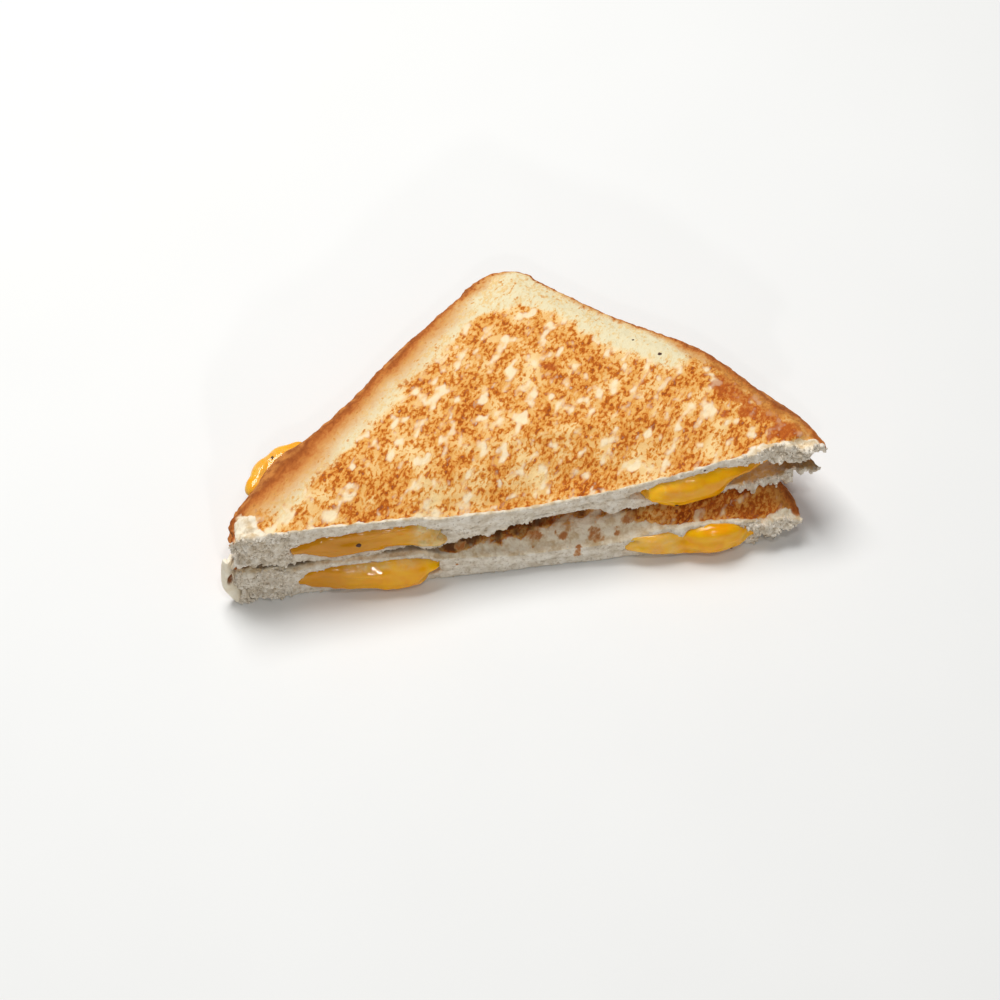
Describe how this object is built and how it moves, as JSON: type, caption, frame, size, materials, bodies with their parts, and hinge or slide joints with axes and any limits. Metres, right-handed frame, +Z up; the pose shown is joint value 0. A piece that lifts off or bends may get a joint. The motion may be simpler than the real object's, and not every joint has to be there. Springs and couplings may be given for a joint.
{
  "type": "grilled cheese sandwich",
  "caption": "Grilled cheese sandwich of square white toast, cut corner to corner, with the triangular halves stacked and melted cheese at the cuts.",
  "frame": {"origin": "middle of the stack's bounding box in plan, on the surface it rests on", "axes": "+X along the cut faces, towards the tip whose upper half stands out; the cut faces look along -Y and the crust corner points along +Y; +Z up"},
  "size_m": [0.159, 0.0848, 0.0284],
  "materials": {
    "toasted_bread": "dry toasted bread, golden brown on a pale crumb",
    "melted_cheese": "soft glossy melted cheese"
  },
  "bodies": {
    "root": {"lower_half_bottom_bread": "toasted_bread", "lower_half_top_bread": "toasted_bread", "upper_half_bottom_bread": "toasted_bread", "upper_half_top_bread": "toasted_bread", "lower_half_cheese": "melted_cheese", "upper_half_cheese": "melted_cheese"}
  },
  "joints": []
}
